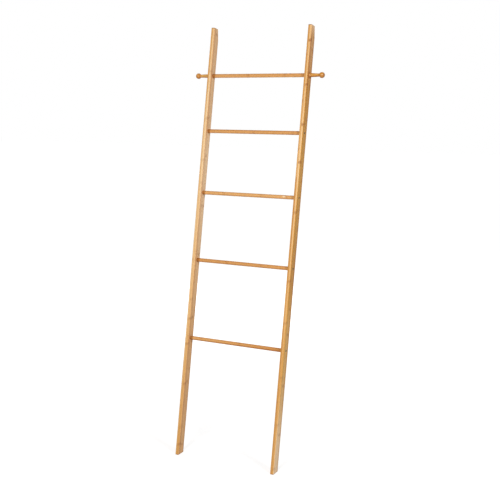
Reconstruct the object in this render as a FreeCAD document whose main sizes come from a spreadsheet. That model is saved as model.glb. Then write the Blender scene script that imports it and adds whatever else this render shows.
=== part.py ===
"""A blanket ladder of bamboo that leans on a wall.

Two flat rails carry five round rungs. The ends of each rung sit in shallow blind sockets in the rails.
A countersunk wood screw goes through the rail into each end of the lower four rungs. At the top rung a
turned peg stands on the outside of each rail instead, on a stud that passes through the rail into a
threaded insert in the rung's end.

The ladder's own frame has X along the rungs, Y through the rails' depth towards the wall and Z up
along the rails, from the point where a rail's middle line meets the floor. Every piece is drawn in
that frame and then leaned back as a whole. The right-hand pieces are drawn, and the left-hand ones
are their mirror images.
"""
import FreeCAD, Part
import os
import Sketcher

SIZES = {
    # how the ladder stands
    "lean_angle": 10.5,
    # rails
    "clear_width": 428.0,
    "rail_length": 1800.0,
    "rail_depth": 40.0,
    "rail_thickness": 16.0,
    "rail_edge_radius": 3.0,
    "rail_end_chamfer": 1.5,
    "wall_face_length": 47.0,
    # rungs, each at its distance down the rail from the one above, and the top one from the rail's top
    "rung_diameter": 16.0,
    "rung_end_chamfer": 0.5,
    "top_rung_drop": 200.0,
    "second_rung_drop": 233.0,
    "third_rung_drop": 260.0,
    "fourth_rung_drop": 285.0,
    "bottom_rung_drop": 330.0,
    # blind sockets in the rails
    "socket_depth": 5.0,
    "socket_clearance": 0.1,
    "socket_end_clearance": 0.2,
    # wood screws
    "screw_length": 40.0,
    "screw_shank_diameter": 4.0,
    "screw_head_diameter": 8.0,
    "screw_head_land": 0.3,
    "screw_tip_length": 5.0,
    "screw_tip_diameter": 0.6,
    "screw_recess_span": 4.4,
    "screw_recess_width": 1.1,
    "screw_recess_depth": 1.6,
    "screw_hole_clearance": 0.25,
    "countersink_clearance": 0.1,
    "pilot_clearance": 0.02,
    "pilot_extra_depth": 1.0,
    # studs that hold the pegs
    "stud_diameter": 6.0,
    "stud_end_chamfer": 0.8,
    "stud_hole_clearance": 0.3,
    "stud_thread_clearance": 0.02,
    "stud_extra_depth": 1.0,
    "stud_length_in_peg": 24.0,
    # threaded inserts in the top rung
    "insert_length": 16.0,
    "insert_diameter": 10.0,
    "insert_chamfer": 0.6,
    "insert_clearance": 0.02,
    # turned pegs
    "peg_base_diameter": 21.0,
    "peg_cove_length": 9.0,
    "peg_shoulder_diameter": 16.4,
    "peg_neck_diameter": 13.0,
    "peg_ball_diameter": 24.0,
    "peg_ball_distance": 53.5,
    "peg_ball_blend": 5.0,
}

RUNGS = ("top", "second", "third", "fourth", "bottom")
SCREWED_RUNGS = RUNGS[1:]

# Lengths and places that several pieces share, all worked out from the sizes above.
HALF_CLEAR = "Sizes.clear_width / 2"
OUTER_FACE = f"({HALF_CLEAR} + Sizes.rail_thickness)"
HALF_DEPTH = "Sizes.rail_depth / 2"
SOCKET_FLOOR = f"({HALF_CLEAR} + Sizes.socket_depth)"
RUNG_END = f"({SOCKET_FLOOR} - Sizes.socket_end_clearance)"
FLOOR_RISE = f"({HALF_DEPTH} * tan(Sizes.lean_angle))"
WALL_FACE_SETBACK = "(Sizes.wall_face_length * tan(Sizes.lean_angle))"
SCREW_HOLE = "(Sizes.screw_shank_diameter + 2 * Sizes.screw_hole_clearance)"
STUD_HOLE = "(Sizes.stud_diameter + 2 * Sizes.stud_hole_clearance)"

# The standing ladder reaches from its chamfered front feet to its wall faces. Half way between is Y = 0.
FRONT_REACH = (
    f"({HALF_DEPTH} / cos(Sizes.lean_angle) - Sizes.rail_end_chamfer * sin(Sizes.lean_angle))"
)
WALL_REACH = (
    f"({HALF_DEPTH} * cos(Sizes.lean_angle)"
    " + (Sizes.rail_length - Sizes.wall_face_length) * sin(Sizes.lean_angle))"
)
STANDING_PLACE = f"({FRONT_REACH} - {WALL_REACH}) / 2"

TOUCH = 1e-4  # mm, how near two numbers are to count as the same place when edges are picked

# The points of a sketched line, arc or circle.
START, END, CENTRE = 1, 2, 3


doc = FreeCAD.newDocument("BlanketLadder")


def make_sheet():
    sheet = doc.addObject("Spreadsheet::Sheet", "Sizes")
    for row, (alias, value) in enumerate(SIZES.items(), start=1):
        sheet.set(f"A{row}", alias.replace("_", " "))
        sheet.set(f"B{row}", str(value))
        sheet.setAlias(f"B{row}", alias)
    doc.recompute()


def rung_distance(rung):
    """How far up the rail a rung's axis is from the floor."""
    drops = [f" - Sizes.{above}_rung_drop" for above in RUNGS[: RUNGS.index(rung) + 1]]
    return f"(Sizes.rail_length{''.join(drops)})"


def leaning_body(label):
    """A body whose own frame is the ladder's frame, leaned back and set on the floor."""
    body = doc.addObject("PartDesign::Body", label)
    body.Label = label
    body.Placement = FreeCAD.Placement(
        FreeCAD.Vector(0, 0, 0),
        FreeCAD.Rotation(FreeCAD.Vector(-1, 0, 0), SIZES["lean_angle"]),
    )
    body.setExpression("Placement.Rotation.Angle", "Sizes.lean_angle")
    body.setExpression("Placement.Base.y", STANDING_PLACE)
    return body


def sketch_on(body, name, plane, offset):
    """A sketch on one of the body's origin planes, moved along the plane's normal by offset."""
    sketch = body.newObject("Sketcher::SketchObject", f"{body.Label}_{name}")
    support = next(part for part in body.Origin.OriginFeatures if part.Role == plane)
    sketch.AttachmentSupport = (support, [""])
    sketch.MapMode = "FlatFace"
    sketch.setExpression("AttachmentOffset.Base.z", offset)
    doc.recompute()
    return sketch


def value_of(owner, expression):
    """The number that an expression gives now."""
    value = owner.evalExpression(expression)
    return float(getattr(value, "Value", value))


def bind(sketch, kind, where, expression):
    """Adds a dimension to a sketch and ties it to an expression."""
    index = sketch.addConstraint(
        Sketcher.Constraint(kind, *where, value_of(sketch, expression))
    )
    sketch.setExpression(f"Constraints[{index}]", expression)


def pin_point(sketch, geometry, end, place):
    """Holds a point at a pair of expressions. An expression of 0 puts it on the axis."""
    origin, horizontal_axis, vertical_axis = (-1, START), -1, -2
    for kind, expression, axis in (
        ("DistanceX", place[0], vertical_axis),
        ("DistanceY", place[1], horizontal_axis),
    ):
        if expression == "0":
            sketch.addConstraint(Sketcher.Constraint("PointOnObject", geometry, end, axis))
        else:
            bind(sketch, kind, (*origin, geometry, end), expression)


def draw_outline(sketch, corners):
    """A closed outline of straight lines through the corners, each a pair of expressions."""
    points = [
        FreeCAD.Vector(value_of(sketch, x), value_of(sketch, y), 0) for x, y in corners
    ]
    lines = [
        sketch.addGeometry(Part.LineSegment(start, end), False)
        for start, end in zip(points, points[1:] + points[:1])
    ]
    for line, following in zip(lines, lines[1:] + lines[:1]):
        sketch.addConstraint(Sketcher.Constraint("Coincident", line, END, following, START))
    for line, corner in zip(lines, corners):
        pin_point(sketch, line, START, corner)


def draw_circle(sketch, centre, diameter):
    middle = FreeCAD.Vector(value_of(sketch, centre[0]), value_of(sketch, centre[1]), 0)
    up = FreeCAD.Vector(0, 0, 1)
    circle = sketch.addGeometry(Part.Circle(middle, up, value_of(sketch, diameter) / 2), False)
    bind(sketch, "Diameter", (circle,), diameter)
    pin_point(sketch, circle, CENTRE, centre)


def extrude(body, kind, name, sketch, length, backwards=False):
    """A pad or a pocket. A pad runs along the sketch's normal and a pocket against it, unless backwards."""
    feature = body.newObject(f"PartDesign::{kind}", f"{body.Label}_{name}")
    feature.Profile = sketch
    feature.Reversed = backwards
    feature.setExpression("Length", length)
    doc.recompute()
    return feature


def revolve(body, name, sketch):
    """A full turn of a sketch about its own horizontal axis."""
    feature = body.newObject("PartDesign::Revolution", f"{body.Label}_{name}")
    feature.Profile = sketch
    feature.ReferenceAxis = (sketch, ["H_Axis"])
    feature.Angle = 360
    doc.recompute()
    return feature


def ease_edges(body, kind, name, size, wanted):
    """A fillet or a chamfer on every edge of the body's last feature for which wanted(edge) holds."""
    base = body.Tip
    names = [
        f"Edge{number}"
        for number, edge in enumerate(base.Shape.Edges, start=1)
        if wanted(edge)
    ]
    feature = body.newObject(f"PartDesign::{kind}", f"{body.Label}_{name}")
    feature.Base = (base, names)
    feature.setExpression("Radius" if kind == "Fillet" else "Size", size)
    doc.recompute()
    return feature


def edge_points(edge):
    """The start, middle and end of an edge, in its body's own frame."""
    places = (edge.FirstParameter, (edge.FirstParameter + edge.LastParameter) / 2, edge.LastParameter)
    return [edge.valueAt(place) for place in places]


def same(first, second):
    return abs(first - second) < TOUCH


def is_circle(edge):
    return not edge.Degenerated and isinstance(edge.Curve, Part.Circle)


def is_circle_of(edge, radius):
    return is_circle(edge) and same(edge.Curve.Radius, radius)


# ---------------------------------------------------------------- rails


def make_rail():
    """A flat bar cut level with the floor at its foot and square at its top.

    Its back top corner is cut away so that a plumb face rests on the wall.
    """
    body = leaning_body("right_rail")
    side = sketch_on(body, "side_outline", "YZ_Plane", HALF_CLEAR)
    front, back = f"-{HALF_DEPTH}", HALF_DEPTH
    draw_outline(
        side,
        [
            (front, f"-{FLOOR_RISE}"),
            (back, FLOOR_RISE),
            (back, "Sizes.rail_length - Sizes.wall_face_length"),
            (f"{HALF_DEPTH} - {WALL_FACE_SETBACK}", "Sizes.rail_length"),
            (front, "Sizes.rail_length"),
        ],
    )
    extrude(body, "Pad", "bar", side, "Sizes.rail_thickness")
    ease_rail_ends(body)
    round_long_edges(body)
    cut_sockets(body)
    cut_screw_holes(body)
    cut_stud_hole(body)
    return body


def round_long_edges(body):
    """The four edges that run up the rail are rounded, and the two of the wall face with them."""
    foot_level = value_of(body, FLOOR_RISE)
    top_level = value_of(body, "Sizes.rail_length")

    def runs_up(edge):
        low, _, high = sorted(edge_points(edge), key=lambda point: point.z)
        rises = high.z - low.z > 2 * foot_level + TOUCH
        return rises and low.z < top_level - TOUCH and same(low.x, high.x)

    ease_edges(body, "Fillet", "rounded_edges", "Sizes.rail_edge_radius", runs_up)


def ease_rail_ends(body):
    """The outline of the foot and of the top cut is chamfered all the way round."""
    slope = value_of(body, "tan(Sizes.lean_angle)")
    top_level = value_of(body, "Sizes.rail_length")

    def bounds_an_end(edge):
        points = edge_points(edge)
        at_foot = all(same(point.z, point.y * slope) for point in points)
        at_top = all(same(point.z, top_level) for point in points)
        return at_foot or at_top

    ease_edges(body, "Chamfer", "eased_ends", "Sizes.rail_end_chamfer", bounds_an_end)


def cut_sockets(body):
    sockets = sketch_on(body, "socket_circles", "YZ_Plane", HALF_CLEAR)
    for rung in RUNGS:
        draw_circle(
            sockets,
            ("0", rung_distance(rung)),
            "Sizes.rung_diameter + 2 * Sizes.socket_clearance",
        )
    extrude(body, "Pocket", "sockets", sockets, "Sizes.socket_depth", backwards=True)


def cut_screw_holes(body):
    holes = sketch_on(body, "screw_circles", "YZ_Plane", OUTER_FACE)
    for rung in SCREWED_RUNGS:
        draw_circle(holes, ("0", rung_distance(rung)), SCREW_HOLE)
    extrude(body, "Pocket", "screw_holes", holes, "Sizes.rail_thickness")
    outer_face = value_of(body, OUTER_FACE)
    hole_radius = value_of(body, SCREW_HOLE) / 2

    def is_hole_mouth(edge):
        return is_circle_of(edge, hole_radius) and same(edge.Curve.Center.x, outer_face)

    countersink = (
        f"(Sizes.screw_head_diameter - {SCREW_HOLE}) / 2"
        " + Sizes.screw_head_land + Sizes.countersink_clearance"
    )
    ease_edges(body, "Chamfer", "countersinks", countersink, is_hole_mouth)


def cut_stud_hole(body):
    hole = sketch_on(body, "stud_circle", "YZ_Plane", OUTER_FACE)
    draw_circle(hole, ("0", rung_distance("top")), STUD_HOLE)
    extrude(body, "Pocket", "stud_hole", hole, "Sizes.rail_thickness")


# ---------------------------------------------------------------- rungs


def make_rung(rung):
    body = leaning_body(f"{rung}_rung")
    centre = ("0", rung_distance(rung))
    section = sketch_on(body, "section", "YZ_Plane", f"-{RUNG_END}")
    draw_circle(section, centre, "Sizes.rung_diameter")
    extrude(body, "Pad", "round_bar", section, f"2 * {RUNG_END}")
    ease_edges(body, "Chamfer", "eased_ends", "Sizes.rung_end_chamfer", is_circle)
    if rung in SCREWED_RUNGS:
        depth = (
            "Sizes.screw_length - Sizes.rail_thickness + Sizes.socket_depth"
            " - Sizes.socket_end_clearance + Sizes.pilot_extra_depth"
        )
        diameter = "Sizes.screw_shank_diameter + 2 * Sizes.pilot_clearance"
        bore_both_ends(body, "pilot", centre, diameter, depth)
    else:
        diameter = "Sizes.insert_diameter + 2 * Sizes.insert_clearance"
        depth = "Sizes.insert_length + Sizes.stud_extra_depth"
        bore_both_ends(body, "insert_seat", centre, diameter, depth)
    return body


def bore_both_ends(body, name, centre, diameter, depth):
    for side, sign, backwards in (("right", "", False), ("left", "-", True)):
        bore = sketch_on(body, f"{side}_{name}_circle", "YZ_Plane", f"{sign}{RUNG_END}")
        draw_circle(bore, centre, diameter)
        extrude(body, "Pocket", f"{side}_{name}", bore, depth, backwards)


# ---------------------------------------------------------------- fasteners


def make_screw(rung):
    """A countersunk wood screw, flush with the rail's outer face, with a cross recess."""
    body = leaning_body(f"right_{rung}_rung_screw")
    profile = sketch_on(body, "profile", "XY_Plane", rung_distance(rung))
    head_radius = "Sizes.screw_head_diameter / 2"
    shank_radius = "Sizes.screw_shank_diameter / 2"
    land = f"{OUTER_FACE} - Sizes.screw_head_land"
    head_end = f"{land} - (Sizes.screw_head_diameter - Sizes.screw_shank_diameter) / 2"
    tip = f"{OUTER_FACE} - Sizes.screw_length"
    draw_outline(
        profile,
        [
            (OUTER_FACE, "0"),
            (OUTER_FACE, head_radius),
            (land, head_radius),
            (head_end, shank_radius),
            (f"{tip} + Sizes.screw_tip_length", shank_radius),
            (tip, "Sizes.screw_tip_diameter / 2"),
            (tip, "0"),
        ],
    )
    revolve(body, "turned_shape", profile)
    cut_cross_recess(body, rung)
    return body


def cut_cross_recess(body, rung):
    """Two crossed slots of the same span and width, drawn as one outline of twelve corners."""
    recess = sketch_on(body, "recess_outline", "YZ_Plane", OUTER_FACE)
    centre = rung_distance(rung)
    far, near = "Sizes.screw_recess_span / 2", "Sizes.screw_recess_width / 2"
    quarter_turn = ((near, far), (near, near), (far, near))
    corners = []
    for across, up, in_order in (("", "+", 1), ("", "-", -1), ("-", "-", 1), ("-", "+", -1)):
        for width, height in quarter_turn[::in_order]:
            corners.append((f"{across}{width}", f"{centre} {up} {height}"))
    draw_outline(recess, corners)
    extrude(body, "Pocket", "recess", recess, "Sizes.screw_recess_depth")


def make_stud():
    """A double-ended stud. It runs from inside the peg, through the rail, to the insert's inner end."""
    body = leaning_body("right_peg_stud")
    inner_end = f"({RUNG_END} - Sizes.insert_length)"
    outer_end = f"({OUTER_FACE} + Sizes.stud_length_in_peg)"
    section = sketch_on(body, "section", "YZ_Plane", inner_end)
    draw_circle(section, ("0", rung_distance("top")), "Sizes.stud_diameter")
    extrude(body, "Pad", "rod", section, f"{outer_end} - {inner_end}")
    ease_edges(body, "Chamfer", "eased_ends", "Sizes.stud_end_chamfer", is_circle)
    return body


def make_insert():
    """A sleeve with an inner thread for the stud, flush with the end of the top rung."""
    body = leaning_body("right_rung_insert")
    centre = ("0", rung_distance("top"))
    section = sketch_on(body, "section", "YZ_Plane", RUNG_END)
    draw_circle(section, centre, "Sizes.insert_diameter")
    draw_circle(section, centre, "Sizes.stud_diameter + 2 * Sizes.stud_thread_clearance")
    extrude(body, "Pad", "sleeve", section, "Sizes.insert_length", backwards=True)
    outer_radius = value_of(body, "Sizes.insert_diameter / 2")

    def is_outer_rim(edge):
        return is_circle_of(edge, outer_radius)

    ease_edges(body, "Chamfer", "eased_ends", "Sizes.insert_chamfer", is_outer_rim)
    return body


# ---------------------------------------------------------------- pegs


def make_peg():
    """A turned peg: a coved base on the rail, a tapering neck and a ball that runs out of the neck."""
    body = leaning_body("right_end_peg")
    profile = sketch_on(body, "profile", "XY_Plane", rung_distance("top"))
    draw_peg_profile(profile)
    revolve(body, "turned_shape", profile)
    neck_radius = value_of(body, "Sizes.peg_neck_diameter / 2")

    def is_neck_end(edge):
        return is_circle_of(edge, neck_radius)

    ease_edges(body, "Fillet", "ball_blend", "Sizes.peg_ball_blend", is_neck_end)
    bore = sketch_on(body, "stud_bore_circle", "YZ_Plane", OUTER_FACE)
    draw_circle(
        bore,
        ("0", rung_distance("top")),
        "Sizes.stud_diameter + 2 * Sizes.stud_thread_clearance",
    )
    depth = "Sizes.stud_length_in_peg + Sizes.stud_extra_depth"
    extrude(body, "Pocket", "stud_bore", bore, depth, backwards=True)
    return body


def draw_peg_profile(sketch):
    """Half of the peg's outline, above its axis, from the rail's face to the end of the ball."""
    face = value_of(sketch, OUTER_FACE)
    base_radius = value_of(sketch, "Sizes.peg_base_diameter / 2")
    shoulder_radius = value_of(sketch, "Sizes.peg_shoulder_diameter / 2")
    neck_radius = value_of(sketch, "Sizes.peg_neck_diameter / 2")
    ball_radius = value_of(sketch, "Sizes.peg_ball_diameter / 2")
    cove_length = value_of(sketch, "Sizes.peg_cove_length")
    ball_middle = face + value_of(sketch, "Sizes.peg_ball_distance")
    neck_end = ball_middle - (ball_radius**2 - neck_radius**2) ** 0.5

    base_foot = FreeCAD.Vector(face, 0, 0)
    base_rim = FreeCAD.Vector(face, base_radius, 0)
    shoulder = FreeCAD.Vector(face + cove_length, shoulder_radius, 0)
    neck = FreeCAD.Vector(neck_end, neck_radius, 0)
    ball_centre = FreeCAD.Vector(ball_middle, 0, 0)
    ball_crown = FreeCAD.Vector(ball_middle, ball_radius, 0)
    ball_end = FreeCAD.Vector(ball_middle + ball_radius, 0, 0)
    taper_direction = (neck - shoulder).normalize()
    chord = shoulder - base_rim
    normal = FreeCAD.Vector(-taper_direction.y, taper_direction.x, 0)
    cove_radius = chord.dot(chord) / (2 * abs(chord.dot(normal)))
    cove_centre = shoulder + normal * cove_radius
    to_middle = ((base_rim + shoulder) / 2 - cove_centre).normalize()
    cove_middle = cove_centre + to_middle * cove_radius

    axis_line = sketch.addGeometry(Part.LineSegment(ball_end, base_foot), False)
    base_line = sketch.addGeometry(Part.LineSegment(base_foot, base_rim), False)
    cove = sketch.addGeometry(Part.Arc(base_rim, cove_middle, shoulder), False)
    taper = sketch.addGeometry(Part.LineSegment(shoulder, neck), False)
    ball = sketch.addGeometry(Part.Arc(neck, ball_crown, ball_end), False)

    cove_start, cove_end = arc_ends(sketch, cove, base_rim)
    ball_start, ball_finish = arc_ends(sketch, ball, neck)
    for joined in (
        (axis_line, END, base_line, START),
        (base_line, END, cove, cove_start),
        (taper, END, ball, ball_start),
        (ball, ball_finish, axis_line, START),
    ):
        sketch.addConstraint(Sketcher.Constraint("Coincident", *joined))
    sketch.addConstraint(Sketcher.Constraint("Tangent", cove, cove_end, taper, START))
    pin_point(sketch, base_line, START, (OUTER_FACE, "0"))
    pin_point(sketch, base_line, END, (OUTER_FACE, "Sizes.peg_base_diameter / 2"))
    shoulder_place = (f"{OUTER_FACE} + Sizes.peg_cove_length", "Sizes.peg_shoulder_diameter / 2")
    pin_point(sketch, taper, START, shoulder_place)
    bind(sketch, "DistanceY", (-1, START, taper, END), "Sizes.peg_neck_diameter / 2")
    pin_point(sketch, ball, CENTRE, (f"{OUTER_FACE} + Sizes.peg_ball_distance", "0"))
    bind(sketch, "Radius", (ball,), "Sizes.peg_ball_diameter / 2")
    sketch.addConstraint(Sketcher.Constraint("PointOnObject", ball, ball_finish, -1))


def arc_ends(sketch, arc, start):
    """An arc's two ends in order, the one at the start point first."""
    starts_there = sketch.getPoint(arc, START).distanceToPoint(start) < TOUCH
    return (START, END) if starts_there else (END, START)


# ---------------------------------------------------------------- the whole ladder


def mirror_to_left(piece):
    """The same piece on the left-hand side, mirrored across the middle plane of the ladder."""
    label = piece.Label.replace("right_", "left_")
    mirrored = doc.addObject("Part::Mirroring", label)
    mirrored.Label = label
    mirrored.Source = piece
    mirrored.Base = FreeCAD.Vector(0, 0, 0)
    mirrored.Normal = FreeCAD.Vector(1, 0, 0)
    doc.recompute()
    return mirrored


def check(pieces):
    """Stops if any object failed or any piece is not one valid solid."""
    for item in doc.Objects:
        failed = {"Invalid", "Error"} & set(item.State)
        if failed:
            raise RuntimeError(f"{item.Label} is {failed}")
    for piece in pieces:
        shape = piece.Shape
        if shape.isNull() or not shape.isValid():
            raise RuntimeError(f"{piece.Label} has no valid shape")
        if len(shape.Solids) != 1 or shape.Volume <= 0:
            raise RuntimeError(f"{piece.Label} is not one solid")


def write(pieces):
    os.makedirs("parts", exist_ok=True)
    for piece in pieces:
        piece.Shape.exportStep(f"parts/{piece.Label}.step")
        print(f"{piece.Label}: {piece.Shape.Volume / 1000:.2f} cm3")


make_sheet()
rungs = [make_rung(rung) for rung in RUNGS]
right_pieces = [make_rail(), make_peg(), make_stud(), make_insert()]
right_pieces += [make_screw(rung) for rung in SCREWED_RUNGS]
left_pieces = [mirror_to_left(piece) for piece in right_pieces]
all_pieces = rungs + right_pieces + left_pieces
doc.recompute()
check(all_pieces)
write(all_pieces)
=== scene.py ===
import math

import bpy
from mathutils import Matrix, Vector

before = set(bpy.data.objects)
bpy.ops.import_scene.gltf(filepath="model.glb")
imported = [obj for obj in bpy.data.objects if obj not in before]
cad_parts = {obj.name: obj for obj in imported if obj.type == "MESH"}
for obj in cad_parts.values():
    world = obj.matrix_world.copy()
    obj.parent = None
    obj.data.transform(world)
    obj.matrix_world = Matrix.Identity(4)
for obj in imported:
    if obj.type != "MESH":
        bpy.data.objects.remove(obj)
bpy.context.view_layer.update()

# The looks of a bamboo blanket ladder that leans back on a wall. Its shapes are all the CAD's own:
# this script gives each node a material, and adds the floor, the lights and the camera.
#
# Lengths are in metres. The materials are worked out in the ladder's own frame: X along the rungs,
# Y through the rails' depth towards the wall, and Z up along the rails from where their middle
# line meets the floor.

LEAN = math.radians(10.5)
STANDING_PLACE = -0.159528  # the Y at which the rails' middle line meets the floor
RAIL_LENGTH = 1.8
RAIL_DEPTH = 0.040
RAIL_THICKNESS = 0.016
HALF_CLEAR = 0.214  # half the clear width between the rails
OUTER_FACE = HALF_CLEAR + RAIL_THICKNESS
TOP_HEIGHT = 1.7732  # of the rails' top ends above the floor
PEG_FOOT = 0.0105  # the radius of the peg where it meets the rail
# How far up the rails each rung's axis is.
RUNG_DISTANCES = {"top": 1.600, "second": 1.367, "third": 1.107, "fourth": 0.822, "bottom": 0.492}


def srgb(red, green, blue):
    """A colour given as it shows on a screen, as the linear colour that Blender wants."""
    linear = []
    for channel in (red, green, blue):
        value = channel / 255
        linear.append(value / 12.92 if value <= 0.04045 else ((value + 0.055) / 1.055) ** 2.4)
    return (*linear, 1.0)


# ---------------------------------------------------------------- node trees

SOCKETS = {
    "metallic": "Metallic",
    "specular_ior_level": "Specular IOR Level",
    "coat_weight": "Coat Weight",
    "coat_roughness": "Coat Roughness",
}


class Graph:
    """The node tree of one material, written as calls that return sockets."""

    def __init__(self, name):
        self.material = bpy.data.materials.new(name)
        self.material.use_nodes = True
        self.tree = self.material.node_tree
        self.tree.nodes.clear()

    def feed(self, socket, value):
        """Links another socket to this one, or sets a constant on it."""
        if isinstance(value, bpy.types.NodeSocket):
            self.tree.links.new(value, socket)
        else:
            socket.default_value = value

    def add(self, kind, inputs=None, **settings):
        """A new node. Its inputs go by name or by number."""
        node = self.tree.nodes.new("ShaderNode" + kind)
        for key, value in settings.items():
            setattr(node, key, value)
        for name, value in (inputs or {}).items():
            self.feed(node.inputs[name], value)
        return node

    def math(self, operation, *values):
        node = self.add("Math", operation=operation)
        for socket, value in zip(node.inputs, values):
            self.feed(socket, value)
        return node.outputs[0]

    def plus(self, first, second):
        return self.math("ADD", first, second)

    def minus(self, first, second):
        return self.math("SUBTRACT", first, second)

    def times(self, first, second):
        return self.math("MULTIPLY", first, second)

    def absolute(self, value):
        return self.math("ABSOLUTE", value)

    def larger(self, first, second):
        return self.math("MAXIMUM", first, second)

    def wavering(self, noise, reach):
        """Noise from 0 to 1, as a number that goes half the reach below 0 and half above it."""
        return self.math("MULTIPLY_ADD", noise, reach, -reach / 2)

    def varied(self, tone, noises, strengths):
        """The tone, made paler and darker by each noise with its own strength."""
        for noise, strength in zip(noises, strengths):
            tone = self.plus(tone, self.wavering(noise, strength))
        return tone

    def scaled(self, vector, factor):
        node = self.add("VectorMath", {0: vector, 1: (factor,) * 3}, operation="MULTIPLY")
        return node.outputs[0]

    def joined(self, x, y, z):
        return self.add("CombineXYZ", {"X": x, "Y": y, "Z": z}).outputs[0]

    def split(self, vector):
        return self.add("SeparateXYZ", {0: vector}).outputs

    def noise(self, vector, detail=1.0):
        """Soft noise from 0 to 1 with cells one unit across."""
        inputs = {"Vector": vector, "Scale": 1.0, "Detail": detail}
        return self.add("TexNoise", inputs).outputs[0]

    def chance(self, vector):
        """A number from 0 to 1 that is the same wherever the vector is the same."""
        return self.add("TexWhiteNoise", {"Vector": vector}, noise_dimensions="3D").outputs[0]

    def ranged(self, value, low, high, to_low=0.0, to_high=1.0, smooth=True):
        """Goes from to_low to to_high as the value goes from low to high, and no further."""
        kind = "SMOOTHSTEP" if smooth else "LINEAR"
        inputs = {
            "Value": value,
            "From Min": low,
            "From Max": high,
            "To Min": to_low,
            "To Max": to_high,
        }
        return self.add("MapRange", inputs, interpolation_type=kind).outputs[0]

    def ramp(self, value, stops):
        """The colour for a value from 0 to 1, between the stops' colours."""
        node = self.add("ValToRGB", {0: value})
        elements = node.color_ramp.elements
        while len(elements) < len(stops):
            elements.new(1.0)
        for element, (place, colour) in zip(elements, stops):
            element.position = place
            element.color = colour
        return node.outputs[0]

    def between(self, amount, first, second):
        """A number that goes from the first to the second."""
        return self.add("Mix", {0: amount, 2: first, 3: second}).outputs[0]

    def mixed(self, amount, first, second):
        """A colour that goes from the first to the second."""
        node = self.add("Mix", data_type="RGBA")
        self.feed(node.inputs[0], amount)
        self.feed(node.inputs[6], first)
        self.feed(node.inputs[7], second)
        return node.outputs[2]

    def stained(self, colour, stain, amount):
        """The colour with a stain over it, which the amount makes faint or strong."""
        return self.mixed(amount, colour, stain)

    def across_strip(self, strip_place):
        """How far across its strip a point is, from -1 to 1."""
        return self.math("MULTIPLY_ADD", self.math("FRACT", strip_place), 2.0, -1.0)

    def ladder_place(self):
        """The place in the ladder's own frame."""
        here = self.add("TexCoord").outputs["Object"]
        leaned = self.add("Mapping", {"Vector": here}, vector_type="TEXTURE")
        leaned.inputs["Location"].default_value = (0.0, STANDING_PLACE, 0.0)
        leaned.inputs["Rotation"].default_value = (-LEAN, 0.0, 0.0)
        return leaned.outputs[0]

    def ladder_direction(self):
        """The surface's direction in the ladder's own frame."""
        normal = self.add("TexCoord").outputs["Normal"]
        leaned = self.add("Mapping", {"Vector": normal}, vector_type="TEXTURE")
        leaned.inputs["Rotation"].default_value = (-LEAN, 0.0, 0.0)
        return leaned.outputs[0]

    def bump(self, height, depth, strength):
        inputs = {"Height": height, "Distance": depth, "Strength": strength}
        return self.add("Bump", inputs).outputs[0]

    def finish(self, colour, roughness, normal, **constants):
        """Ends in one glossy surface. The constants are set on its own sockets."""
        inputs = {"Base Color": colour, "Roughness": roughness, "Normal": normal}
        shader = self.add("BsdfPrincipled", inputs)
        for name, value in constants.items():
            shader.inputs[SOCKETS[name]].default_value = value
        self.add("OutputMaterial", {"Surface": shader.outputs[0]})
        return self.material


# ---------------------------------------------------------------- bamboo

NODE_BROWN = srgb(148, 80, 36)
GLUE_BROWN = srgb(150, 98, 52)
END_BROWN = srgb(142, 86, 36)
# A dark brown, for painted shade and for the wide faces' darker back edges.
DARK_EDGE_AND_SHADE_BROWN = srgb(150, 86, 26)
SATIN = 0.15  # how strongly the satin finish mirrors, where 0.5 is as strongly as glass
NODE_DARKNESS = 0.80
NODE_HALF_WIDTH = 0.010
NODE_WANDER = 0.006  # how far a node's line wanders up and down in all
SAME = 0.1  # whole numbers that are this near are the same

# How wide and how long each kind of streak is, and how much detail its noise has.
STREAKS = {
    "wide": (0.0048, 0.45, 1.0),
    "narrow": (0.0019, 0.22, 2.0),
    "fine": (0.00055, 0.060, 2.0),
    "flecks": (0.0008, 0.010, 1.0),
}
FLECK_NOISE = (0.60, 0.76)  # where in its noise a dark fleck begins, and where it is full


def fibres(graph, along, across, other, stretch=1.0):
    """Streaks along a strip. Returns wide ones, narrow ones, fine ones and dark flecks."""
    streaks = {}
    for kind, (width, length, detail) in STREAKS.items():
        place = graph.joined(
            graph.times(across, 1 / width),
            graph.times(other, 1 / width),
            graph.times(along, 1 / (length * stretch)),
        )
        streaks[kind] = graph.noise(place, detail)
    flecks = graph.ranged(streaks["flecks"], *FLECK_NOISE)
    return streaks["wide"], streaks["narrow"], streaks["fine"], flecks


def node_marks(graph, along, nodes):
    """How strongly a strip's nodes show, each of them a place and a strength."""
    here = graph.joined(along, 0.0, 0.0)
    marks = 0.0
    for place, strength in nodes:
        gap = graph.add("VectorMath", {0: here, 1: (place, 0.0, 0.0)}, operation="DISTANCE")
        mark = graph.ranged(gap.outputs["Value"], NODE_HALF_WIDTH, 0.0, 0.0, strength)
        marks = graph.plus(marks, mark)
    return marks


# ---------------------------------------------------------------- the rails

# A rail is glued up from two layers of three strips.
LAYERS = 2
STRIPS = 3
LAYER_THICKNESS = RAIL_THICKNESS / LAYERS
STRIP_WIDTH = RAIL_DEPTH / STRIPS
JOINT_HALF_WIDTH = 0.0006
GLUE_HALF_WIDTH = 0.0002
GLUE_FADE = (1.5, 0.5)  # where a glue line begins and is full, in its half widths

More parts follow.
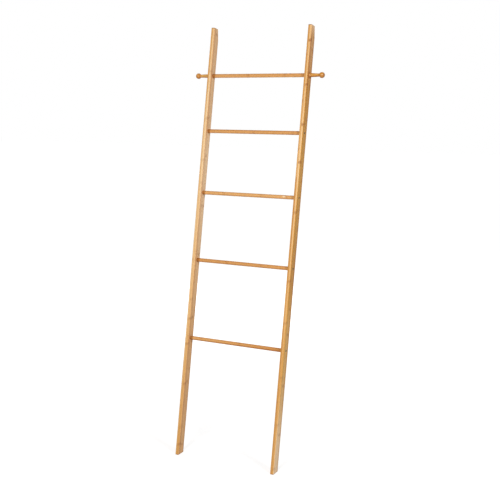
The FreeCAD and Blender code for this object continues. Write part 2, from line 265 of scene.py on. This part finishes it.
# From 0, amber, to 1, pale. A strip's narrow faces are cut across the cane's wall and its wide
# faces along it, so they differ in colour as well as in tone.
NARROW_TONES = (
    (0.00, srgb(184, 122, 56)),
    (0.25, srgb(212, 153, 80)),
    (0.50, srgb(224, 173, 108)),
    (0.75, srgb(236, 193, 138)),
    (1.00, srgb(246, 214, 168)),
)
CHALKY_TONES = (
    (0.00, srgb(196, 138, 88)),
    (0.50, srgb(226, 176, 124)),
    (1.00, srgb(252, 217, 174)),
)
GOLDEN_TONES = (
    (0.00, srgb(188, 122, 44)),
    (0.50, srgb(216, 158, 72)),
    (1.00, srgb(238, 190, 120)),
)

# For each strip of the rails: how far up the rail its bamboo's nodes are, and how strongly each
# one shows. The strips are numbered by layer, 0 being the inner one, and from front to back.
NODES = {
    ("right", 1, 0): (
        (0.021, 0.30), (0.198, 0.27), (0.388, 0.30), (0.606, 0.36), (0.774, 0.50), (1.050, 0.50),
        (1.251, 0.74), (1.402, 0.74), (1.562, 0.66), (1.739, 0.84),
    ),
    ("right", 1, 1): (
        (0.155, 0.45), (0.352, 0.50), (0.558, 0.50), (0.662, 0.28), (0.860, 0.12), (1.056, 0.30),
        (1.240, 0.12), (1.426, 0.30), (1.703, 0.28),
    ),
    ("right", 1, 2): (
        (0.159, 0.28), (0.344, 0.34), (0.556, 0.38), (0.759, 0.26), (0.980, 0.66), (1.177, 0.56),
        (1.294, 0.28), (1.422, 0.42), (1.558, 0.44), (1.699, 0.70),
    ),
    ("right", 0, 0): (
        (0.120, 0.15), (0.288, 0.26), (0.450, 0.12), (0.600, 0.15), (0.770, 0.22), (0.945, 0.12),
        (1.120, 0.16), (1.178, 0.26), (1.302, 0.38), (1.495, 0.46), (1.683, 0.38),
    ),
    ("right", 0, 1): (
        (0.060, 0.30), (0.270, 0.55), (0.480, 0.20), (0.730, 0.45), (0.950, 0.30), (1.190, 0.60),
        (1.410, 0.25), (1.650, 0.50),
    ),
    ("right", 0, 2): (
        (0.150, 0.40), (0.380, 0.25), (0.590, 0.50), (0.810, 0.30), (1.060, 0.55), (1.270, 0.20),
        (1.520, 0.45), (1.740, 0.35),
    ),
    ("left", 0, 0): (
        (0.045, 0.50), (0.117, 0.22), (0.300, 0.40), (0.470, 0.42), (0.576, 0.45), (0.657, 0.35),
        (0.860, 0.12), (1.149, 0.24), (1.245, 0.28), (1.422, 0.30), (1.619, 0.30),
    ),
    ("left", 0, 1): (
        (0.041, 0.36), (0.307, 0.48), (0.580, 0.60), (0.848, 0.30), (1.051, 0.36), (1.263, 0.42),
        (1.424, 0.32), (1.600, 0.10), (1.776, 0.50),
    ),
    ("left", 0, 2): (
        (0.150, 0.12), (0.360, 0.34), (0.478, 0.34), (0.615, 0.32), (0.848, 0.42), (1.050, 0.54),
        (1.306, 0.30), (1.500, 0.12), (1.776, 0.40),
    ),
    ("left", 1, 0): (
        (0.040, 0.12), (0.206, 0.22), (0.466, 0.34), (0.645, 0.12), (0.827, 0.34), (1.020, 0.12),
        (1.212, 0.24), (1.412, 0.20), (1.623, 0.22), (1.760, 0.12),
    ),
    ("left", 1, 1): (
        (0.130, 0.35), (0.360, 0.50), (0.610, 0.25), (0.830, 0.45), (1.050, 0.30), (1.290, 0.55),
        (1.500, 0.20), (1.730, 0.40),
    ),
    ("left", 1, 2): (
        (0.100, 0.45), (0.340, 0.25), (0.550, 0.40), (0.790, 0.55), (1.000, 0.20), (1.240, 0.50),
        (1.460, 0.30), (1.680, 0.60),
    ),
}

# The same strips are pieced together from lengths: where one ends, and how much paler the next is.
JOINTS = {
    ("right", 1, 0): ((0.312, -0.03), (0.727, 0.04)),
    ("right", 1, 1): ((0.655, -0.10), (1.420, 0.05)),
    ("right", 1, 2): ((0.250, -0.15), (0.930, 0.19)),
    ("right", 0, 0): ((0.590, 0.03), (1.187, 0.22)),
    ("right", 0, 1): ((0.810, 0.06),),
    ("right", 0, 2): ((1.050, -0.07),),
    ("left", 0, 0): ((0.500, 0.04), (1.120, 0.03)),
    ("left", 0, 1): ((0.860, 0.05),),
    ("left", 0, 2): ((0.690, 0.03), (1.350, 0.06)),
    ("left", 1, 0): ((0.760, 0.03), (1.460, -0.04)),
    ("left", 1, 1): ((0.980, -0.05),),
    ("left", 1, 2): ((0.640, 0.06),),
}

# How the tone of each layer's wide face and of its narrow faces drifts from the foot to the top.
DRIFT = {
    ("left", 0): (
        ((0.0, 0.50), (0.45, 0.51), (0.75, 0.62), (1.0, 0.78), (1.3, 0.87), (1.4, 0.64),
         (1.8, 0.60)),
        ((0.0, 0.36), (0.35, 0.46), (0.6, 0.58), (0.9, 0.64), (1.2, 0.76), (1.5, 0.80),
         (1.8, 0.64)),
    ),
    ("left", 1): (
        ((0.0, 0.40), (0.9, 0.60), (1.8, 0.55)),
        ((0.0, 0.37), (0.3, 0.50), (0.5, 0.68), (0.7, 0.78), (1.0, 0.68), (1.5, 0.54),
         (1.8, 0.44)),
    ),
    ("right", 0): (
        ((0.0, 0.50), (0.9, 0.60), (1.8, 0.55)),
        ((0.0, 0.18), (0.4, 0.24), (0.66, 0.30), (0.78, 0.16), (1.1, 0.15), (1.36, 0.16),
         (1.5, 0.0), (1.8, 0.0)),
    ),
    ("right", 1): (
        ((0.0, 1.00), (0.2, 0.96), (0.32, 0.76), (0.6, 0.62), (0.76, 0.30), (0.9, 0.32),
         (1.2, 0.46), (1.45, 0.30), (1.56, 0.24), (1.7, 0.22), (1.75, 0.26), (1.8, 0.66)),
        ((0.0, 0.28), (0.4, 0.38), (0.66, 0.54), (0.8, 0.50), (1.0, 0.62), (1.25, 0.84),
         (1.5, 0.68), (1.8, 0.60)),
    ),
}
# How chalky each rail's wide faces are, and not golden, from the foot to the top.
CHALK = {
    "left": ((0.0, 0.85), (0.8, 0.85), (1.0, 1.0), (1.8, 1.0)),
    "right": ((0.0, 1.0), (0.12, 0.9), (0.25, 0.25), (0.4, 0.0), (1.56, 0.0), (1.66, 0.60),
              (1.75, 0.65), (1.8, 1.0)),
}
# How much paler than that drift the strips' wide faces are, from front to back.
STRIP_TONES = {"left": (-0.15, 0.0, 0.0), "right": (-0.02, 0.18, -0.10)}

# How far sideways a surface faces where it begins to look as the wide faces do, and where it does.
WIDE_FACING = (0.25, 0.60)
# How far up or down a surface faces where the cut ends' darkness begins, and where it is full.
END_FACING = (0.35, 0.75)
END_DARKNESS = 0.80
# How near the floor or the top the wood beside the cut ends begins to darken, and is darkest.
END_BAND_HEIGHTS = (0.005, 0.001)
END_BAND_DARKNESS = 0.60

RAIL_WANDER_CELL = 0.006
STRIP_SHIFT = 9.0  # how far apart the strips are in the noise that moves their nodes
NODE_ARCH = 0.0035  # how much lower a node is at a strip's edges than in its middle
RAIL_STREAKS = (0.45, 0.45, 0.45, 0.20)  # how strong wide, narrow, fine and slow streaks are
SLOW_STREAK = 0.35  # how long a slow one is
RAIL_FLECKS = 0.30
RAIL_GLUE = 0.45
RAIL_ROUGHNESS = 0.36
RAIL_ROUGHER = 0.16  # how much rougher the roughest streaks are
RAIL_GROOVE = -1.2  # the height of a glue line, where the streaks go from 0 to 1
RAIL_RELIEF = (0.00006, 0.5)  # the bumps' depth and strength

BACK_EDGE = (0.010, 0.0175)  # where across the rail its darker back edge begins, and is full
BACK_DARKNESS = (0.45, 0.15)  # low down and high up
BACK_CHANGE = (0.3, 0.6)  # where it goes from one to the other, in lengths of the rail

PEG_SHADE_REACH = 0.007  # how far from the peg's foot the painted shade round it reaches
PEG_SHADE_DARKNESS = 0.60


def strip_details(graph, side, number, z, marked, tone):
    """What each strip of a rail has of its own. Returns its nodes, its joints and its tone."""
    marks, joints = 0.0, 0.0
    for (its_side, its_layer, its_strip), nodes in NODES.items():
        if its_side != side:
            continue
        here = graph.math("COMPARE", number, float(its_layer * STRIPS + its_strip), SAME)
        marks = graph.math("MULTIPLY_ADD", here, node_marks(graph, marked, nodes), marks)
        for start, paler in JOINTS[its_side, its_layer, its_strip]:
            beyond = graph.times(here, graph.math("GREATER_THAN", z, start))
            tone = graph.math("MULTIPLY_ADD", beyond, paler, tone)
            at_joint = graph.math("COMPARE", z, start, JOINT_HALF_WIDTH)
            joints = graph.math("MULTIPLY_ADD", here, at_joint, joints)
    return marks, joints, tone


def glue_line(graph, gap, spacing):
    """A glue line, from how far away it is. The gap is measured in spacings."""
    begins, full = (GLUE_HALF_WIDTH * share / spacing for share in GLUE_FADE)
    return graph.ranged(gap, begins, full)


def rail_material(side):
    graph = Graph(f"rail_bamboo_{side}")
    x, y, z = graph.split(graph.ladder_place())
    layer_place = graph.math("DIVIDE", graph.minus(graph.absolute(x), HALF_CLEAR), LAYER_THICKNESS)
    strip_place = graph.math("DIVIDE", graph.plus(y, RAIL_DEPTH / 2), STRIP_WIDTH)
    layer = graph.math("GREATER_THAN", layer_place, 1.0)
    strip = graph.plus(graph.math("GREATER_THAN", strip_place, 1.0),
                       graph.math("GREATER_THAN", strip_place, 2.0))
    number = graph.math("MULTIPLY_ADD", layer, float(STRIPS), strip)

    # A node's line arches over the strip's wide face, and wanders.
    off_middle = graph.absolute(graph.across_strip(strip_place))
    arch = graph.times(graph.math("POWER", off_middle, 2.0), NODE_ARCH)
    sway = graph.noise(graph.joined(
        graph.times(y, 1 / RAIL_WANDER_CELL),
        graph.times(x, 1 / RAIL_WANDER_CELL),
        graph.math("MULTIPLY_ADD", z, 1 / RAIL_WANDER_CELL, graph.times(number, STRIP_SHIFT)),
    ))
    marked = graph.plus(graph.plus(z, arch), graph.wavering(sway, NODE_WANDER))

    direction = graph.split(graph.ladder_direction())
    on_wide = graph.ranged(graph.absolute(direction[0]), *WIDE_FACING)
    fraction = graph.math("DIVIDE", z, RAIL_LENGTH)

    def drift(curve):
        stops = [(place / RAIL_LENGTH, (value, value, value, 1.0)) for place, value in curve]
        return graph.ramp(fraction, stops)

    drifts = []
    for layer_number in range(LAYERS):
        wide_drift, narrow_drift = (drift(curve) for curve in DRIFT[side, layer_number])
        drifts.append(graph.between(on_wide, narrow_drift, wide_drift))
    tone = graph.between(layer, *drifts)
    for strip_number, paler in enumerate(STRIP_TONES[side]):
        here = graph.math("COMPARE", strip, float(strip_number), SAME)
        tone = graph.math("MULTIPLY_ADD", graph.times(here, on_wide), paler, tone)
    marks, joints, tone = strip_details(graph, side, number, z, marked, tone)

    wide, narrow, fine, flecks = fibres(graph, z, y, x)
    slow = graph.noise(graph.joined(number, 0.0, graph.times(z, 1 / SLOW_STREAK)))
    tone = graph.varied(tone, (wide, narrow, fine, slow), RAIL_STREAKS)
    wide_colour = graph.mixed(drift(CHALK[side]), graph.ramp(tone, GOLDEN_TONES),
                              graph.ramp(tone, CHALKY_TONES))
    colour = graph.mixed(on_wide, graph.ramp(tone, NARROW_TONES), wide_colour)
    colour = graph.stained(colour, GLUE_BROWN, graph.times(flecks, RAIL_FLECKS))
    colour = graph.stained(colour, NODE_BROWN, graph.times(marks, NODE_DARKNESS))

    # Thin lines of glue between the layers, in the joints, and between the strips, where they are
    # half a strip from the rail's middle.
    from_middle = graph.absolute(graph.minus(strip_place, STRIPS / 2))
    strip_gap = graph.absolute(graph.minus(from_middle, 0.5))
    layer_gap = graph.absolute(graph.minus(layer_place, 1.0))
    glue = graph.larger(glue_line(graph, strip_gap, STRIP_WIDTH),
                        glue_line(graph, layer_gap, LAYER_THICKNESS))
    glue = graph.larger(glue, joints)
    colour = graph.stained(colour, GLUE_BROWN, graph.times(glue, RAIL_GLUE))

    # The wide faces are darker towards their back edge, most of all low down.
    towards_back = graph.times(graph.ranged(y, *BACK_EDGE), on_wide)
    darkness = graph.ranged(fraction, *BACK_CHANGE, *BACK_DARKNESS)
    colour = graph.stained(colour, DARK_EDGE_AND_SHADE_BROWN, graph.times(towards_back, darkness))

    # Painted shade round the peg's foot, on the outer face, where the peg shades the rail.
    beside_peg = graph.joined(0.0, y, graph.minus(z, RUNG_DISTANCES["top"]))
    from_peg = graph.add("VectorMath", {0: beside_peg}, operation="LENGTH").outputs["Value"]
    painted_shade = graph.ranged(from_peg, PEG_FOOT + PEG_SHADE_REACH, PEG_FOOT, 0.0, PEG_SHADE_DARKNESS)
    outer_face = graph.times(layer, on_wide)
    colour = graph.stained(colour, DARK_EDGE_AND_SHADE_BROWN, graph.times(outer_face, painted_shade))

    # Surfaces that face up or down, as the cut ends do, are darker, and so is the wood within a
    # few millimetres of the floor and of the top.
    height = graph.split(graph.add("TexCoord").outputs["Object"])[2]
    reach, darkest = END_BAND_HEIGHTS
    near_ends = graph.larger(
        graph.ranged(height, reach, darkest, 0.0, END_BAND_DARKNESS),
        graph.ranged(height, TOP_HEIGHT - reach, TOP_HEIGHT - darkest, 0.0, END_BAND_DARKNESS),
    )
    toward_ends = graph.ranged(graph.absolute(direction[2]), *END_FACING, 0.0, END_DARKNESS)
    colour = graph.stained(colour, END_BROWN, graph.larger(toward_ends, near_ends))

    roughness = graph.math("MULTIPLY_ADD", fine, RAIL_ROUGHER, RAIL_ROUGHNESS)
    relief = graph.bump(graph.plus(fine, graph.times(glue, RAIL_GROOVE)), *RAIL_RELIEF)
    return graph.finish(colour, roughness, relief, specular_ior_level=SATIN)


# ---------------------------------------------------------------- the rungs

RUNG_TONES = (
    (0.0, srgb(184, 114, 50)),
    (0.5, srgb(218, 159, 95)),
    (1.0, srgb(237, 187, 126)),
)
# Along each rung: where its bamboo's nodes are, and how strongly each one shows.
RUNG_NODES = {
    "top": ((-0.200, 0.4), (-0.040, 0.5), (0.126, 0.4)),
    "second": ((-0.190, 0.3), (0.002, 0.5), (0.180, 0.4)),
    "third": ((-0.113, 0.5), (0.060, 0.4), (0.174, 0.4)),
    "fourth": ((-0.210, 0.4), (-0.070, 0.5), (0.090, 0.4)),
    "bottom": ((-0.160, 0.4), (0.020, 0.5), (0.190, 0.4)),
}
# How pale each rung is at its left end and at its right end, and how much paler it is along its
# top and along its underside, which is painted light and shade.
RUNG_PALENESS_AND_PAINTED_SHADE = {
    "top": (0.58, 0.54, -0.17, -0.04),
    "second": (0.50, 0.44, -0.12, -0.14),
    "third": (0.79, 0.72, -0.16, -0.12),
    "fourth": (0.52, 0.56, -0.05, -0.16),
    "bottom": (0.48, 0.12, 0.16, -0.22),
}
RUNG_SHADE_HEIGHT = 0.005  # how far above and below the axis the painted shade along the top and the underside is full

RUNG_STRIP = 0.0062  # how wide a rung's strips are
RUNG_WANDER_CELL = 0.00625
RUNG_SHIFT = 10  # how far apart the rungs are in their noise, for each metre between them
RUNG_NODE_SPREAD = 0.010  # how far apart a node's marks on the strips can be
RUNG_NODE_LEAST = 0.2  # how strongly it shows on the faintest strip, where 1 is on the strongest
RUNG_STRETCH = 2.5  # how much longer than a rail's a rung's streaks are
RUNG_STREAKS = (0.24, 0.30, 0.60, 0.35)  # how strong the strips and the streaks on them are
RUNG_FLECKS = 0.25
RUNG_GLUE = 0.35
RUNG_GLUE_EDGE = (0.08, 0.02)  # from a strip's edge, where its glue line begins and is full
RUNG_ROUGHNESS = 0.34
RUNG_ROUGHER = 0.14
RUNG_GROOVE = -1.0
RUNG_RELIEF = (0.00005, 0.5)

PAINTED_GLINTS = {"third": (0.166,)}  # how far along a rung its painted glints are
PAINTED_GLINT_COLOUR = srgb(250, 222, 180)
PAINTED_GLINT_HEIGHT = 0.001  # of its middle, above the rung's axis
# From its middle, where a painted glint begins and where it is full.
PAINTED_GLINT_LENGTHWISE = (0.009, 0.003)
PAINTED_GLINT_CROSSWISE = (0.0035, 0.0015)
PAINTED_GLINT_STRENGTH = 0.85

RUNG_END_SHADE_REACH = 0.017  # how far from the rails the painted shade at the rung's ends reaches
RUNG_END_SHADE = (0.80, 0.20)  # at the left end and at the right end


def rung_material(rung):
    graph = Graph(f"rung_bamboo_{rung}")
    x, y, z = graph.split(graph.ladder_place())
    up = graph.minus(z, RUNG_DISTANCES[rung])
    seed = RUNG_DISTANCES[rung] * RUNG_SHIFT
    strip_place = graph.math("MULTIPLY_ADD", up, 1 / RUNG_STRIP, 0.5 + seed)
    strip = graph.math("FLOOR", strip_place)
    # Each strip has its own tone, and its own shift and strength of the nodes.
    paleness, shift, force = (
        graph.chance(graph.joined(strip, seed, draw)) for draw in (0.0, 1.0, 2.0)
    )
    wide, narrow, fine, flecks = fibres(graph, x, graph.plus(up, seed), y, RUNG_STRETCH)

    shift = graph.wavering(shift, RUNG_NODE_SPREAD)
    sway = graph.noise(graph.scaled(graph.joined(x, y, up), 1 / RUNG_WANDER_CELL))
    marked = graph.plus(graph.plus(x, shift), graph.wavering(sway, NODE_WANDER))
    force = graph.math("MULTIPLY_ADD", force, 1.0 - RUNG_NODE_LEAST, RUNG_NODE_LEAST)
    marks = graph.times(node_marks(graph, marked, RUNG_NODES[rung]), force)

    at_left, at_right, top_painted_shade, underside_painted_shade = RUNG_PALENESS_AND_PAINTED_SHADE[rung]
    tone = graph.ranged(x, -HALF_CLEAR, HALF_CLEAR, at_left, at_right, smooth=False)
    # Painted light and shade along the top and along the underside.
    tone = graph.plus(tone, graph.ranged(up, 0.0, RUNG_SHADE_HEIGHT, 0.0, top_painted_shade))
    tone = graph.plus(tone, graph.ranged(up, 0.0, -RUNG_SHADE_HEIGHT, 0.0, underside_painted_shade))
    tone = graph.varied(tone, (paleness, wide, narrow, fine), RUNG_STREAKS)
    colour = graph.ramp(tone, RUNG_TONES)
    colour = graph.stained(colour, NODE_BROWN, graph.times(flecks, RUNG_FLECKS))
    colour = graph.stained(colour, NODE_BROWN, graph.times(marks, NODE_DARKNESS))
    from_edge = graph.minus(1.0, graph.absolute(graph.across_strip(strip_place)))
    glue = graph.ranged(from_edge, *RUNG_GLUE_EDGE)
    colour = graph.stained(colour, GLUE_BROWN, graph.times(glue, RUNG_GLUE))
    # Painted highlights: pale glints on the rung, where a lamp shows in its gloss.
    for place in PAINTED_GLINTS.get(rung, ()):
        lengthwise = graph.ranged(graph.absolute(graph.minus(x, place)), *PAINTED_GLINT_LENGTHWISE)
        off_middle = graph.absolute(graph.minus(up, PAINTED_GLINT_HEIGHT))
        glint = graph.times(lengthwise, graph.ranged(off_middle, *PAINTED_GLINT_CROSSWISE))
        colour = graph.stained(colour, PAINTED_GLINT_COLOUR, graph.times(glint, PAINTED_GLINT_STRENGTH))
    # Painted shade at the rung's ends, where the rails keep light off them, deepest at the left
    # end.
    painted_shade = graph.ranged(graph.absolute(x), HALF_CLEAR - RUNG_END_SHADE_REACH, HALF_CLEAR - RUNG_END_SHADE_REACH / 2)
    darkness = graph.ranged(x, -HALF_CLEAR, HALF_CLEAR, *RUNG_END_SHADE)
    colour = graph.stained(colour, DARK_EDGE_AND_SHADE_BROWN, graph.times(painted_shade, darkness))

    roughness = graph.math("MULTIPLY_ADD", fine, RUNG_ROUGHER, RUNG_ROUGHNESS)
    relief = graph.bump(graph.plus(fine, graph.times(glue, RUNG_GROOVE)), *RUNG_RELIEF)
    return graph.finish(colour, roughness, relief, specular_ior_level=SATIN)


# ---------------------------------------------------------------- the pegs

PEG_TONES = (
    (0.0, srgb(154, 90, 22)),
    (0.5, srgb(202, 136, 46)),
    (1.0, srgb(226, 170, 86)),
)
NECK_PALENESS_AND_PAINTED_LIGHT = {"left": 1.05, "right": 0.62}  # how pale each peg's neck is; the left one's extra paleness is painted light, where the left rail keeps the light off it
BALL_SHADE = 0.5
NECK_END, BALL_START = 0.034, 0.042  # outside the rail, where one shade turns into the other
PEG_STREAKS = (0.30, 0.70, 0.40)  # how strong wide, narrow and fine ones are
PEG_FLECKS = 0.20
PEG_RIM_FACING = (0.45, 0.95)  # how far along the peg the surface faces where its painted rim shade begins and is full
PEG_RIM_SHADE = 0.70
FOOT_SHADE_REACH = 0.012  # how far from the rail the painted shade at the peg's foot reaches
FOOT_SHADE_DARKNESS = 0.70
UNDERSIDE_FACING = (-0.1, -0.9)  # how far down it faces where its painted shade begins and is full
UNDERSIDE_DARKNESS = 0.60
TURNING_RING = 0.0006  # how wide one is
RING_HEIGHT = 0.8  # against the fine streaks, which go from 0 to 1
PEG_ROUGHNESS = 0.26
PEG_ROUGHER = 0.10
PEG_RELIEF = (0.00004, 0.4)
LACQUER = 0.6
LACQUER_ROUGHNESS = 0.24


def peg_material(side):
    graph = Graph(f"peg_bamboo_{side}")
    x, y, z = graph.split(graph.ladder_place())
    up = graph.minus(z, RUNG_DISTANCES["top"])
    wide, narrow, fine, flecks = fibres(graph, x, up, y)
    tone = graph.ranged(graph.absolute(x), OUTER_FACE + NECK_END, OUTER_FACE + BALL_START,
                        NECK_PALENESS_AND_PAINTED_LIGHT[side], BALL_SHADE)
    tone = graph.varied(tone, (wide, narrow, fine), PEG_STREAKS)
    colour = graph.ramp(tone, PEG_TONES)
    colour = graph.stained(colour, GLUE_BROWN, graph.times(flecks, PEG_FLECKS))

    # Painted shade: the peg darkens where it faces along its axis, at its foot beside the rail,
    # and on its underside.
    direction = graph.split(graph.ladder_direction())
    toward_ends = graph.ranged(graph.absolute(direction[0]), *PEG_RIM_FACING, 0.0, PEG_RIM_SHADE)
    painted_shade = graph.ranged(graph.absolute(x), OUTER_FACE + FOOT_SHADE_REACH, OUTER_FACE, 0.0,
                          FOOT_SHADE_DARKNESS)
    below = graph.ranged(direction[2], *UNDERSIDE_FACING, 0.0, UNDERSIDE_DARKNESS)
    for stain in (toward_ends, painted_shade, below):
        colour = graph.stained(colour, DARK_EDGE_AND_SHADE_BROWN, stain)

    # Very fine rings from the turning tool.
    rings = graph.noise(graph.joined(graph.times(x, 1 / TURNING_RING), 0.0, 0.0))
    relief = graph.bump(graph.plus(graph.times(rings, RING_HEIGHT), fine), *PEG_RELIEF)
    roughness = graph.math("MULTIPLY_ADD", fine, PEG_ROUGHER, PEG_ROUGHNESS)
    return graph.finish(colour, roughness, relief, specular_ior_level=SATIN,
                        coat_weight=LACQUER, coat_roughness=LACQUER_ROUGHNESS)


# ---------------------------------------------------------------- the metal

# The noise's cells in a metre, and its detail.
SCRATCHES = (1800.0, 3.0)
PATCHES = (420.0, 3.0)
WORN_PATCH = (0.45, 0.75)  # where in its noise a worn patch begins, and where it is full
METAL_ROUGHER = 0.18  # how much rougher than the smoothest metal the roughest is
METAL_RELIEF = (0.00002, 0.4)

# The plating's colour, the worn colour and the roughness.
METALS = {
    "screw_steel": (srgb(48, 64, 56), srgb(92, 94, 76), 0.45),
    "stud_steel": (srgb(178, 178, 176), srgb(150, 150, 148), 0.35),
    "insert_brass": (srgb(196, 160, 92), srgb(160, 124, 66), 0.38),
}


def metal_material(name):
    """Plated metal: fine scratches, and a little of the plating rubbed away."""
    plating, worn, roughness = METALS[name]
    graph = Graph(name)
    here = graph.ladder_place()
    grain, patches = (graph.noise(graph.scaled(here, scale), detail)
                      for scale, detail in (SCRATCHES, PATCHES))
    colour = graph.mixed(graph.ranged(patches, *WORN_PATCH), plating, worn)
    rough = graph.math("MULTIPLY_ADD", grain, METAL_ROUGHER, roughness - METAL_ROUGHER / 2)
    return graph.finish(colour, rough, graph.bump(grain, *METAL_RELIEF), metallic=1.0)


# ---------------------------------------------------------------- dressing the nodes


def dress(nodes, material):
    for name in nodes:
        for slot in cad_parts[name].material_slots:
            slot.material = material


SIDES = ("left", "right")
for side in SIDES:
    dress([f"{side}_rail"], rail_material(side))
    dress([f"{side}_end_peg"], peg_material(side))
for rung in RUNG_DISTANCES:
    dress([f"{rung}_rung"], rung_material(rung))
# The pegs stand where the top rung's screws would be.
screwed = [rung for rung in RUNG_DISTANCES if rung != "top"]
dress([f"{side}_{rung}_rung_screw" for side in SIDES for rung in screwed],
      metal_material("screw_steel"))
dress([f"{side}_peg_stud" for side in SIDES], metal_material("stud_steel"))
dress([f"{side}_rung_insert" for side in SIDES], metal_material("insert_brass"))


# ---------------------------------------------------------------- floor, light and camera

FLOOR_SIZE = 40.0
FLOOR_COLOUR = (0.62, 0.62, 0.62, 1.0)
# What is added to the floor as it is seen, near the feet and far off. It lights nothing.
FLOOR_LIFT = (0.60, 0.86)
FLOOR_LIFT_DISTANCES = (0.7, 3.0)
WORLD_LIGHT = 0.25

# Where each softbox is, what it faces, its width and height, its power in watts, and whether it
# shows in gloss. The rails' wide faces mirror what is behind the ladder, which stays plain.
SOFTBOXES = {
    "key": ((0.4, -4.0, 2.0), (0.0, 0.0, 0.9), (1.1, 1.1), 96.0, True),
    "fill": ((2.9, -1.4, 2.3), (0.0, 0.0, 0.9), (0.8, 1.0), 42.0, True),
    "back": ((0.3, 4.2, 1.1), (0.0, 0.1, 0.9), (1.6, 1.6), 34.0, False),
    "left": ((-2.9, 2.0, 1.1), (0.0, 0.1, 0.9), (1.4, 1.4), 50.0, False),
}

# The photograph's own viewpoint, worked out from the ladder's corners in the picture.
CAMERA_PLACE = (1.7308, -3.2950, 1.4956)
CAMERA_TURN = math.radians(27.29)  # to the left, from looking straight at the wall
CAMERA_DOWN = math.radians(9.61)
CAMERA_TILT = math.radians(0.08)
SENSOR_WIDTH = 36.0  # this and the lens are in millimetres
LENS = 66.02
NEAREST, FARTHEST = 0.05, 100.0  # what the camera sees


def seen_directly(tree):
    """1 for what the camera sees, and for what is seen in gloss or through glass."""
    path = tree.nodes.new("ShaderNodeLightPath")
    total = path.outputs["Is Camera Ray"]
    for name in ("Is Glossy Ray", "Is Transmission Ray"):
        either = tree.nodes.new("ShaderNodeMath")
        either.operation = "MAXIMUM"
        tree.links.new(total, either.inputs[0])
        tree.links.new(path.outputs[name], either.inputs[1])
        total = either.outputs[0]
    return total


def make_world():
    """White as it is seen, and a dimmer, even light on the ladder."""
    world = bpy.data.worlds.new("studio")
    bpy.context.scene.world = world
    world.use_nodes = True
    tree = world.node_tree
    tree.nodes.clear()
    strength = tree.nodes.new("ShaderNodeMapRange")
    tree.links.new(seen_directly(tree), strength.inputs["Value"])
    strength.inputs["To Min"].default_value = WORLD_LIGHT
    strength.inputs["To Max"].default_value = 1.0
    background = tree.nodes.new("ShaderNodeBackground")
    background.inputs["Color"].default_value = (1.0, 1.0, 1.0, 1.0)
    tree.links.new(strength.outputs[0], background.inputs["Strength"])
    output = tree.nodes.new("ShaderNodeOutputWorld")
    tree.links.new(background.outputs[0], output.inputs["Surface"])


def make_floor():
    """A plain pale floor, which keeps the ladder's shadow."""
    half = FLOOR_SIZE / 2
    corners = [(-half, -half, 0), (half, -half, 0), (half, half, 0), (-half, half, 0)]
    mesh = bpy.data.meshes.new("floor")
    mesh.from_pydata(corners, [], [(0, 1, 2, 3)])
    floor = bpy.data.objects.new("floor", mesh)
    bpy.context.scene.collection.objects.link(floor)
    graph = Graph("floor_white")
    matt = graph.add("BsdfDiffuse", {"Color": FLOOR_COLOUR})
    here = graph.add("TexCoord").outputs["Object"]
    distance = graph.add("VectorMath", {0: here}, operation="LENGTH").outputs["Value"]
    lift = graph.ranged(distance, *FLOOR_LIFT_DISTANCES, *FLOOR_LIFT)
    glow = graph.add("Emission", {"Strength": graph.times(seen_directly(graph.tree), lift)})
    both = graph.add("AddShader", {0: matt.outputs[0], 1: glow.outputs[0]})
    graph.add("OutputMaterial", {"Surface": both.outputs[0]})
    mesh.materials.append(graph.material)


def make_softbox(name, place, target, size, power, mirrored):
    light = bpy.data.lights.new(name, "AREA")
    light.shape = "RECTANGLE"
    light.size, light.size_y = size
    light.energy = power
    lamp = bpy.data.objects.new(name, light)
    bpy.context.scene.collection.objects.link(lamp)
    lamp.location = place
    lamp.visible_camera = False
    lamp.visible_glossy = mirrored
    aim = Vector(target) - Vector(place)
    lamp.rotation_euler = aim.to_track_quat("-Z", "Y").to_euler()


def make_camera():
    data = bpy.data.cameras.new("camera")
    data.sensor_width = SENSOR_WIDTH
    data.lens = LENS
    data.clip_start, data.clip_end = NEAREST, FARTHEST
    camera = bpy.data.objects.new("camera", data)
    bpy.context.scene.collection.objects.link(camera)
    camera.matrix_world = (
        Matrix.Translation(CAMERA_PLACE)
        @ Matrix.Rotation(CAMERA_TURN, 4, "Z")
        @ Matrix.Rotation(math.pi / 2 - CAMERA_DOWN, 4, "X")
        @ Matrix.Rotation(CAMERA_TILT, 4, "Z")
    )
    bpy.context.scene.camera = camera


make_world()
make_floor()
for name, facts in SOFTBOXES.items():
    make_softbox(name, *facts)
make_camera()
bpy.context.scene.view_settings.view_transform = "Standard"
